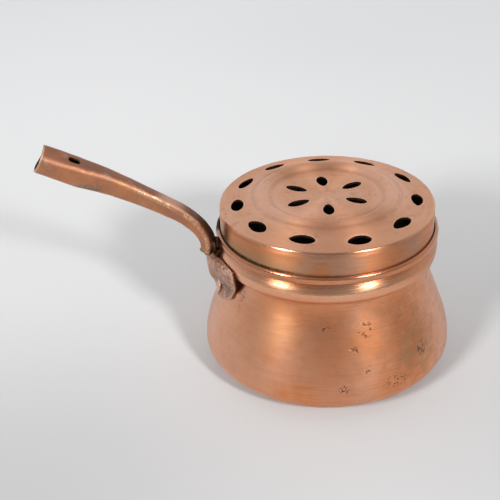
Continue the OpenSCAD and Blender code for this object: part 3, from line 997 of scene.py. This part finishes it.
# %% Copper brushed round its axis
ORANGE, PINK, BROWN = rgb(0.77, 0.288, 0.12), rgb(0.75, 0.375, 0.235), rgb(0.46, 0.18, 0.085)
# The dirt colour also serves for painted shade, and the soot colour for the painted shade in the handle's
# bore
OLIVE, DIRT_AND_SHADE, VERDIGRIS = rgb(0.44, 0.27, 0.14), rgb(0.045, 0.022, 0.012), rgb(0.10, 0.12, 0.05)
SOOT_AND_SHADE = rgb(0.020, 0.015, 0.012)
FINE = 0.00006


def spun_finish(name, bright, film, roughness, seed, worn):
    """Gives the tree, the shader, the place, the colour, and the fine and the broad brush lines."""
    tree, shader, place = finish_of(name, roughness, Anisotropic=0.75, Coat_Weight=0.15,
                                    Coat_Roughness=0.35)
    run = mark(tree, "meridian")
    lines = brush_lines(place, run, 0.0004, 0.011, seed)
    bands = brush_lines(place, run, 0.003, 0.06, seed + 1)
    filmed = clouds(place, 0.030, seed, 4.0, 0.6).ramp(0.42, 0.66)
    colour = lay(bright, (film, filmed * 0.75),
                 (BROWN, bands.ramp(0.5, 0.75) * 0.25 * worn),
                 (BROWN, lines.ramp(0.48, 0.68) * 0.34 * worn),
                 (PINK, lines.ramp(0.50, 0.32) * 0.30 * worn))
    return tree, shader, place, colour, lines, bands


def run_to(outline, spot):
    """How far along an outline the point nearest to a spot lies, in metres."""
    last = min(range(len(outline)), key=lambda i: math.dist(outline[i], spot))
    return meridian_of(outline[:last + 1])[-1]


def end_spun(shader, colour, rough, bumps, turns_in):
    """Lays soot beyond the point where the outline turns in, and feeds the shader."""
    sooty = mark(colour.tree, "meridian").ramp(turns_in + 0.0005, turns_in + 0.0025)
    feed(shader, {"Metallic": 1.0 - sooty, "Roughness": rough + sooty * 0.5,
                  "Base Color": blend(colour, SOOT_AND_SHADE, sooty), "Normal": relief(bumps, FINE)})
    print("finish:", len(colour.tree.nodes), "nodes")


tree, shader, place, colour, lines, bands = spun_finish("pot_copper", ORANGE, PINK, 0.40, 1, 1.0)
print("brushed copper is ready")

# %% [markdown]
# ## The pot's finish
# Painted sheen makes the pot pinker at both ends of its belly; it is olive on the right, and a painted
# reflection makes it redder in the middle, where it faces the camera. Old tarnish has left it
# blotchy, more so on its right. Painted shade darkens the crease under the bead and the groove,
# dirt lies beside the tab, and a painted dark patch of shade and reflection lies on the lip's left
# end by the handle. Painted reflection makes the lip darker than the bead, and painted sheen lightens
# the bead's lower part; the bead and the lip are browner on the right, and a few clusters of short
# scratches are strewn over the belly.

# %% The pot's colours
x, y, height = parts_of(place)
ends = abs(x).ramp(0.036, 0.062)
olive = near(place, (36, -58, 31), 4, 24) * clouds(place, 0.009, 5, 3.0).ramp(0.35, 0.62)
red = near(place, (-12, -62, 40), 4, 24, (1.3, 1, 0.6))
under_bead = height.ramp(0.068, 0.072) * x.ramp(0.034, 0.052)
lip = height.ramp(0.0800, 0.0812) * height.ramp(0.0852, 0.0846)
lip_painted_dark = (x * -1.0).ramp(0.026, 0.046) * 0.4 + 0.35
bead_painted_sheen = height.ramp(0.0690, 0.0715) * height.ramp(0.0790, 0.0772) * x.ramp(0.050, 0.020)
mottle = clouds(place, 0.0065, 21, 4.0, 0.68)
uneven = x.ramp(-0.02, 0.04, 0.35, 1.0) * height.ramp(0.070, 0.066)
colour = lay(colour,
             # Painted sheen: both ends of the belly, as the camera sees them, are painted pinker
             (rgb(0.76, 0.43, 0.29), ends * 0.6),
             (OLIVE, olive * 0.55),
             # Painted reflection: redder in the middle, where the pot faces the camera
             (rgb(0.74, 0.27, 0.12), red * 0.6),
             (BROWN, under_bead * 0.55),
             # Painted reflection: the lip is painted darker, most on the left
             (rgb(0.50, 0.22, 0.12), lip * lip_painted_dark),
             # Painted sheen: the bead's lower part is painted lighter, on the left and in the middle
             (rgb(0.92, 0.52, 0.33), bead_painted_sheen * 0.5),
             (rgb(0.50, 0.235, 0.12), mottle.ramp(0.49, 0.66) * uneven * 0.55),
             (rgb(0.90, 0.48, 0.28), mottle.ramp(0.47, 0.34) * uneven * 0.30),
             # Painted highlight: the left lamp's streak is painted on up to the neck; painted shade, with
             # some dirt, dulls the right lamp's streak on the flank
             (rgb(0.93, 0.47, 0.24), near(place, (-42, -50, 50), 4, 20) * 0.5),
             (BROWN, near(place, (32, -58, 37), 6, 22) * 0.25))
print("the pot has its colours")

# %% The pot's dirt, scratches and relief
# Each cluster of scratches: its middle in millimetres, its reach, and how it is squashed
CLUSTERS = (((7, -61, 50), 6.5, (1, 1, 1)), ((41, -55, 30), 6.5, (1, 1, 1.2)),
            ((23, -68, 19), 9.0, (0.8, 1, 1.8)), ((0, -65, 41), 4.0, (1, 1, 1.3)),
            ((6, -68.5, 30), 3.0, (1, 1, 1)), ((-14, -59, 52), 3.0, (1, 1, 1.6)),
            ((-7, -70, 20), 3.5, (1, 1, 1)))
# The crease under the bead and the groove get painted shade; beside the tab it is dirt
crease = at(height, NECK_Z * MM, 0.0001, 0.0009) * clouds(place, 0.01, 7).ramp(0.2, 0.7)
groove = at(height, GROOVE_Z * MM, 0.0001, 0.0006)
by_tab = (near(place, (-53.5, -24, 60), 1, 7.5, (1.8, 1.8, 0.42))
          * clouds(place, 0.0014, 9, 3.0, 0.7).ramp(0.52, 0.60))
# A painted dark patch on the lip's left end, by the handle, stands in for the shade in the gap and the
# handle's reflection
painted_dark_lip = near(place, (-60.6, 12, 84), 3.5, 8.5, (1, 0.8, 1))
dirt_and_shade = both(crease * 0.55, groove * 0.4, by_tab * 0.7, painted_dark_lip)
scratched = both(*(near(place, spot, 2.0, reach, squash) for spot, reach, squash in CLUSTERS))
scratched = scratched * scratches(place, 0.0034, 3)
peppered = clouds(place, 0.03, 13, 1.0).ramp(0.66, 0.72) * pits(place, 0.0019, 4) * 0.5
colour = lay(colour, (DIRT_AND_SHADE, dirt_and_shade), (DIRT_AND_SHADE, both(scratched * 0.8, peppered)))
polished = height.ramp(0.0725, 0.0745)
dulled = near(place, (34, -56, 40), 10, 26)
rough = lines.ramp(0.3, 0.7, 0.29, 0.42) + dirt_and_shade * 0.4 - polished * 0.10 + dulled * 0.10
# The smith rolled the bead's shoulder over with a tool, and the flank leans in most under the neck
shoulder = height.ramp(0.0722, 0.0806) * 33.0
flank = height.ramp(0.050, 0.064) * 12.0 - height.ramp(0.022, 0.048) * 24.0
end_spun(shader, colour, rough,
         lines * 0.5 + bands * 0.3 - scratched * 1.5 - peppered - dirt_and_shade * 0.5 - shoulder - flank,
         run_to(pot_outline, (MOUTH_R, RIM_Z)))

# %% [markdown]
# ## The lid's finish
# The lid is paler than the pot: a thin dull film covers its top, and brown lines lie at both feet of
# the ring, part dirt and part painted shade. Painted sheen makes the ring paler to the left and right
# and darker in front and behind, and painted shade darkens the front of the top. The pressed rims of
# the holes are paler, for wear and a painted glint. Its skirt was rubbed bright by the mouth. Where
# the two meet, damp has left a green and black crust, most of it on the handle's side, and a spot of
# painted shade lies on the skirt at the lip's left end. The walls of the holes are as black as the
# inside; they are found by their normals, which lie level while the lid's point up.

# %% The lid's colours
tree, shader, place, colour, lines, bands = spun_finish(
    "lid_copper", rgb(0.79, 0.40, 0.235), rgb(0.82, 0.47, 0.32), 0.38, 6, 0.45)
x, y, height = parts_of(place)
radius = vector_sum("LENGTH", vector_of(tree, x, y, 0.0))
skirt = height.ramp((LID_Z - 0.6) * MM, (LID_Z - 1.6) * MM)
rubbed = lay(rgb(0.64, 0.25, 0.11), (rgb(0.56, 0.29, 0.18), clouds(place, 0.018, 31).ramp(0.42, 0.62)),
             (BROWN, lines.ramp(0.48, 0.66) * 0.5))
soft = clouds(place, 0.006, 33, 3.0, 0.6)
# The brown lines at the ring's feet are part dirt and part painted shade
feet_dirt_and_shade = both(*(at(radius, r * MM, 0.0004, 0.0022) for r in (RING_IN + 0.6, RING_OUT - 0.4)))
# Painted sheen: the ring is painted paler to the left and right and darker in front and behind
painted_sheen_sides = (abs(x) / (radius + 0.001)).ramp(0.45, 0.95)
on_ring = at(radius, 0.036, 0.005, 0.013)
# Painted shade: the front of the top is painted darker
painted_front_shade = (y * -0.99 - x * 0.1).ramp(0.030, 0.058)
colour = lay(colour,
             (rubbed, skirt),
             (BROWN, feet_dirt_and_shade * soft.ramp(0.22, 0.55) * 0.7),
             (BROWN, soft.ramp(0.52, 0.74) * 0.45),
             (rgb(0.60, 0.29, 0.17), on_ring * (1.0 - painted_sheen_sides) * 0.55),
             (rgb(0.93, 0.57, 0.41), on_ring * painted_sheen_sides * 0.55),
             (rgb(0.66, 0.29, 0.16), painted_front_shade * (1.0 - skirt) * 0.45),
             # Pale pressed rims round the holes: wear and a painted glint
             (rgb(0.95, 0.68, 0.52), mark(tree, "rim_wear").ramp(0.35, 0.85) * 0.7))
print("the lid has its colours")

# %% The lid's crust, holes and relief
GAP_Z = 0.0850
left = (x * -0.95 - y * 0.1).ramp(0.018, 0.046)
crumbs = clouds(place, 0.0012, 41, 3.0, 0.7)
loose = crumbs - 0.5
above_gap = (height - GAP_Z) + loose * 0.002
# The crust lies along the gap on the left; the spot on the skirt by the handle is painted shade at the
# lip's left end
crust_and_shade = both(above_gap.ramp(0.0016, 0.0002) * (height + loose * 0.006).ramp(0.0775, 0.0825) * left,
             near(place, (-58.2, 13.5, 87), 1, 6, (1, 0.8, 1)) * crumbs.ramp(0.36, 0.50) * skirt)
tinge = (height - GAP_Z).ramp(0.011, 0.001) * left * skirt
nicks = pits(place, 0.0016, 17) * clouds(place, 0.02, 19, 1.0).ramp(0.60, 0.68) * (1.0 - skirt)
_, _, tipped = parts_of(add(tree, "ShaderNodeTexCoord", out="Normal"))
walls = abs(tipped).ramp(0.55, 0.30) * (1.0 - skirt) * radius.ramp(0.0588, 0.0582)
colour = lay(colour,
             (rgb(0.30, 0.25, 0.14), tinge * 0.45),
             (blend(DIRT_AND_SHADE, VERDIGRIS, crumbs.ramp(0.45, 0.6)), crust_and_shade * 0.9),
             (DIRT_AND_SHADE, nicks * 0.5),
             (rgb(0.055, 0.028, 0.016), walls))
edge = radius.ramp(0.0582, 0.0592) * height.ramp((LID_Z - 1.6) * MM, (LID_Z - 0.8) * MM)
rough = (lines.ramp(0.3, 0.7, 0.32, 0.44) + crust_and_shade * 0.4 + walls * 0.4 - edge * 0.14 + skirt * 0.04
         + (1.0 - skirt) * (1.0 - edge) * 0.05 + on_ring * 0.05)
# The skirt draws in a little towards its foot, which turns it up to the lamps, and the ring is soft
drawn_in = height.ramp(0.083, 0.0985) * 42.0 + height.ramp(0.0945, 0.0978) * 8.0
crest = at(radius, (RING_IN + RING_OUT) / 2 * MM, 0.0, (RING_OUT - RING_IN) / 2 * MM) * 12.0
end_spun(shader, colour, rough,
         lines * 0.35 + bands * 0.2 - nicks * 1.2 + crust_and_shade * crumbs * 4.0 - drawn_in - crest,
         run_to(lid_outline(), (LID_R - SHEET, LID_Z - SKIRT_H)))

# %% [markdown]
# ## The handle's finish
# The handle was hammered, heated and never brushed. Its faces are covered in tiny dents, and a
# painted highlight with some wear runs along the soft corner, broken by the grain. Its top is reddish
# brown, part patina and part painted shade, and dirt lies along the seam. The bore, and the side that
# faces the rim near the root, are painted near black as shade.

# %% The handle's colours
tree, shader, place = finish_of("handle_copper", 0.42, Coat_Weight=0.3, Coat_Roughness=0.4)
grain = clouds(place, 0.0010, 51, 3.0, 0.65)
beaten = clouds(place, 0.0042, 52, 2.0)
patches = clouds(place, 0.016, 53, 3.0, 0.6)
above = mark(tree, "above_corner")
x, _, height = parts_of(place)
before_mouth = (x * -1.0 - 0.1559).ramp(-0.038, -0.058)
# The lower face is the lit copy; the darker top is part patina and part painted shade
lower = blend(rgb(0.60, 0.26, 0.12), rgb(0.46, 0.20, 0.11), patches.ramp(0.36, 0.64))
top_patina_and_shade = blend(rgb(0.40, 0.16, 0.085), rgb(0.31, 0.14, 0.085), patches.ramp(0.36, 0.64))
rubbed = near(place, (-84, -2, 111), 3, 13) * above.ramp(0.0, 0.2) * patches.ramp(0.2, 0.5)
# A painted highlight with some wear along the soft corner, broken by the grain
ridge_wear_and_glint = (mark(tree, "corner_wear").ramp(0.93, 0.995) * grain.ramp(0.40, 0.54) * before_mouth
         * clouds(place, 0.009, 58).ramp(0.38, 0.56))
deposit = (near(place, (-129, -4, 122.3), 1.5, 7, (0.6, 1, 1))
           * clouds(place, 0.0016, 57, 3.0, 0.7).ramp(0.42, 0.56))
# Painted shade on the side that faces the rim near the root
painted_root_shade = above.ramp(0.10, 0.55) * height.ramp(0.112, 0.090)
colour = lay(lower,
             (top_patina_and_shade, above.ramp(0.0, 0.30)),
             (rgb(0.56, 0.36, 0.28), clouds(place, 0.008, 54, 3.0).ramp(0.56, 0.72) * 0.5),
             (rgb(0.74, 0.44, 0.31), rubbed * 0.8),
             (rgb(0.90, 0.54, 0.34), ridge_wear_and_glint * 0.9),
             (rgb(0.26, 0.11, 0.06), grain.ramp(0.58, 0.75) * 0.18),
             (rgb(0.17, 0.14, 0.08), deposit * 0.85),
             (rgb(0.10, 0.08, 0.05), mark(tree, "seam_dirt") * grain.ramp(0.35, 0.55) * 0.85),
             (rgb(0.035, 0.025, 0.016), painted_root_shade * 0.94))
print("the handle has its colours")

# %% The handle's mouth and relief
# The bore is what lies nearer to the tube's axis than the metal does, and it is painted near black as shade
from_mouth = vector_sum("SUBTRACT", place, mouth)
axis = (-math.cos(MOUTH_TILT), 0.0, math.sin(MOUTH_TILT))
off_axis = vector_sum("LENGTH", vector_sum("CROSS_PRODUCT", from_mouth, axis))
down_in = vector_sum("DOT_PRODUCT", from_mouth, axis)
painted_bore_shade = off_axis.ramp(0.0066, 0.0064) * down_in.ramp(-0.026, -0.022)
mouth_edge = down_in.ramp(-0.0012, -0.0003) * grain.ramp(0.3, 0.5)
colour = lay(colour, (SOOT_AND_SHADE, painted_bore_shade), (rgb(0.80, 0.50, 0.33), mouth_edge * 0.7 * (1.0 - painted_bore_shade)))
knocks = clouds(place, 0.011, 59, 2.0) * 3.2
feed(shader, {"Base Color": colour, "Metallic": 1.0 - painted_bore_shade,
              "Roughness": grain.ramp(0.3, 0.7, 0.46, 0.60) - ridge_wear_and_glint * 0.2,
              "Normal": relief(grain * 0.16 + beaten + knocks + deposit * 2.0, 0.00013)})
print("handle finish:", len(tree.nodes), "nodes")

# %% [markdown]
# ## The tab's finish
# The tab is pink and pitted from the heat of the torch, with grey-green flux burnt into its pits.
# Only its rim is bright, on the near side: part filing and part painted highlight. The side face of
# its cut edge is painted dark as shade, and a patch by the tongue, under the tube's end, is dark with
# dirt and painted shade.

# %% The tab's finish
tree, shader, place = finish_of("tab_copper", 0.45)
grain = clouds(place, 0.0011, 61, 3.0, 0.7)
flux = clouds(place, 0.0035, 62, 3.0, 0.6)
holes = both(pits(place, 0.0014, 63), pits(place, 0.0024, 67) * 0.8)
grime = (near(place, (-60, -13, 59.5), 1, 12, (1, 1.3, 0.85))
         * clouds(place, 0.0016, 64, 4.0, 0.75).ramp(0.38, 0.50))
scum = clouds(place, 0.0018, 65, 3.0, 0.7).ramp(0.54, 0.64)
# By the tongue, under the tube's end: dirt and painted shade
by_tongue = near(place, (-67, -1, 72), 1, 4, (1, 0.5, 1)) * grain.ramp(0.4, 0.6)
tab_dirt_and_shade = both(grime * 0.95, scum * 0.5, by_tongue * 0.8)
edge = mark(tree, "edge_wear")
# The near rim is bright: part filing, part painted highlight
filed_and_glint = edge * parts_of(place)[1].ramp(-0.006, -0.014) * clouds(place, 0.004, 66).ramp(0.22, 0.50)
colour = lay(rgb(0.66, 0.42, 0.33),
             (rgb(0.46, 0.24, 0.16), flux.ramp(0.40, 0.62)),
             (rgb(0.22, 0.13, 0.08), holes * 0.6),
             (rgb(0.075, 0.065, 0.035), tab_dirt_and_shade),
             (rgb(0.96, 0.58, 0.38), filed_and_glint * 0.9),
             # Painted shade on the side face of the cut edge
             (rgb(0.14, 0.07, 0.04), edge.ramp(0.90, 1.0) * 0.7))
feed(shader, {"Base Color": colour, "Metallic": 1.0 - tab_dirt_and_shade * 0.7,
              "Roughness": grain.ramp(0.3, 0.7, 0.38, 0.60),
              "Normal": relief(grain + flux * 1.5 + tab_dirt_and_shade * 1.2 - holes * 1.2, 0.0004)})
print("tab finish:", len(tree.nodes), "nodes")

# %% [markdown]
# ## The small pieces' finishes
# The rivet was struck bright, the braze is brass under burnt flux, and the filling is mostly soot, a
# dark mass that also stands in for the shade in the gap.
# Each needs one noise only: it mixes two colours, and it is the bump too.

# %% The rivet, the braze and the filling
def grainy(name, roughness, size, seed, rough, colours, share, depth):
    """Two colours mixed by one noise, which is the bump too. Gives the shader and the noise."""
    tree, shader, place = finish_of(name, roughness)
    grain = clouds(place, size, seed, 3.0, rough)
    feed(shader, {"Base Color": blend(*colours, grain.ramp(*share)), "Normal": relief(grain, depth)})
    return shader, grain


shader, grain = grainy("rivet_copper", 0.34, 0.0009, 71, 0.6,
                       (rgb(0.80, 0.52, 0.40), rgb(0.52, 0.28, 0.18)), (0.45, 0.7), 0.0002)
feed(shader, {"Roughness": grain.ramp(0.3, 0.7, 0.26, 0.48)})
shader, grain = grainy("burnt_braze", 0.55, 0.0011, 81, 0.7,
                       (rgb(0.42, 0.24, 0.12), rgb(0.09, 0.08, 0.045)), (0.42, 0.58), 0.0003)
feed(shader, {"Metallic": grain.ramp(0.4, 0.65, 0.9, 0.2)})
shader, grain = grainy("old_soot", 0.6, 0.0014, 91, 0.7,
                       (rgb(0.03, 0.022, 0.015), rgb(0.16, 0.15, 0.11)), (0.60, 0.70), 0.0003)
feed(shader, {"Metallic": 0.2})
print("finishes are ready")

# %% [markdown]
# ## Hand the pieces over
# Each piece now rides on a body of the model and hides the CAD solid that it stands for. The lines
# that only guided the recipes go.

# %% Ride and replace
for piece, node, body, slot in (
        (pot, "pot", "vessel", "pot_copper"), (lid, "lid", "cover", "lid_copper"),
        (handle, "handle", "vessel", "handle_copper"), (tab, "tab", "vessel", "handle_copper"),
        (rivet, "rivet", "vessel", "rivet_copper")):
    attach(piece, body)
    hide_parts(node)
for extra in (braze, gap_fill):
    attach(extra, "vessel")
for guide in guides:
    bpy.data.objects.remove(guide)
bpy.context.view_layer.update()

# %% [markdown]
# ## The table
# The object stands on a wide pale table. It is a little brighter far back than near the camera,
# as a table that is lit from above and behind is, and duller to the left and right. The lamps
# can't do that without changing the metal too, so the paper's own colour is graded.

# %% The table
BACK_X, BACK_Y = 0.148, 0.989
TABLE_R = 4.0
table = new_piece("table")
rim = [(TABLE_R * math.cos(math.tau * t), TABLE_R * math.sin(math.tau * t), 0.0) for t in steps(64)[:-1]]
table.data.from_pydata(rim, [], [tuple(range(len(rim)))])
paper = bpy.data.materials.new("pale_paper")
paper.use_nodes = True
face = paper.node_tree.nodes["Principled BSDF"]
place = add(paper.node_tree, "ShaderNodeTexCoord", out="Object")
x, y, _ = parts_of(place)
back = x * BACK_X + y * BACK_Y
corners = (1.0 - near(place, (-205, -120, 0), 10, 225) * 0.20 - near(place, (190, -60, 0), 40, 300) * 0.09
           - near(place, (300, 500, 0), 100, 450) * 0.05)
pale = (back.ramp(-0.25, 0.6, 0.47, 1.0) * back.ramp(-1.3, -0.2, 0.7, 1.0) * corners
        * back.ramp(0.15, 0.35, 0.97, 0.95) * back.ramp(0.5, 0.8, 1.0, 1.09))
feed(face, {"Roughness": 0.85, "Specular IOR Level": 0.2,
            "Base Color": vector_of(paper.node_tree, pale, pale, pale * 1.005)})
table.data.materials.append(paper)
print("table:", 2 * TABLE_R, "m wide")

# %% [markdown]
# ## The camera
# A camera's matrix has its right, its up and its backward direction as columns. So it is built
# from the one direction that it looks in, and then rolled a little. The place, the direction, the
# roll and the lens come from fitting the outlines of the pot and the lid to the photograph.

# %% Camera
EYE, LOOK, ROLL, LENS, SENSOR = (-0.1161, -0.4810, 0.3504), (0.1283, 0.8583, -0.4969), -0.041, 71.39, 36.0
camera = bpy.data.objects.new("camera", bpy.data.cameras.new("camera"))
bpy.context.scene.collection.objects.link(camera)
look = Vector(LOOK).normalized()
right = look.cross(Vector((0, 0, 1))).normalized()
up = right.cross(look)
right, up = right * math.cos(ROLL) + up * math.sin(ROLL), up * math.cos(ROLL) - right * math.sin(ROLL)
camera.matrix_world = Matrix.Translation(EYE) @ Matrix((right, up, -look)).transposed().to_4x4()
camera.data.lens, camera.data.sensor_width, camera.data.clip_start = LENS, SENSOR, 0.01
bpy.context.scene.camera = camera
print("camera", round(math.degrees(math.asin(-look.z)), 1), "degrees down")

# %% [markdown]
# ## The lights
# Bright metal shows its lamps as streaks, and the table shows their shadows, and the two want
# different lamps. So two boxes are seen by the metal's reflections only, and two lower ones light
# the table and are left out of the reflections. A soft sky, brighter behind, fills the rest.

# %% Lights
FRONT = math.degrees(math.atan2(-look.y, -look.x))
AIM_Z = 0.05


def soft_box(name, turn, elevation, wide, high, watts, far=1.2):
    """An area light at a turn from the camera's side and an elevation, aimed at the object."""
    light = bpy.data.lights.new(name, "AREA")
    light.shape, light.size, light.size_y, light.energy = "RECTANGLE", wide, high, watts
    lamp = bpy.data.objects.new(name, light)
    bpy.context.scene.collection.objects.link(lamp)
    a, e = math.radians(FRONT + turn), math.radians(elevation)
    aim = Vector((math.cos(a) * math.cos(e), math.sin(a) * math.cos(e), math.sin(e)))
    turned = aim.to_track_quat("Z", "Y").to_matrix().to_4x4()
    lamp.matrix_world = Matrix.Translation(aim * far + Vector((0, 0, AIM_Z))) @ turned
    return lamp


for lamp in (soft_box("left mirror box", -54, 41, 0.22, 0.34, 7.2),
             soft_box("right mirror box", 41, 41, 0.22, 0.34, 6.7)):
    lamp.visible_diffuse = False
for lamp in (soft_box("left table box", -40, 28, 0.24, 0.24, 12.5),
             soft_box("right table box", 27, 31, 0.15, 0.15, 12.0)):
    lamp.visible_glossy = False
world = bpy.data.worlds.new("studio")
bpy.context.scene.world = world
world.use_nodes = True
x, y, _ = parts_of(add(world.node_tree, "ShaderNodeTexCoord", out="Generated"))
feed(world.node_tree.nodes["Background"],
     {"Color": (0.98, 0.99, 1.0, 1), "Strength": (x * BACK_X + y * BACK_Y).ramp(-0.6, 0.6, 0.27, 0.72)})
bpy.context.scene.view_settings.view_transform = "Standard"
print("lights are on")
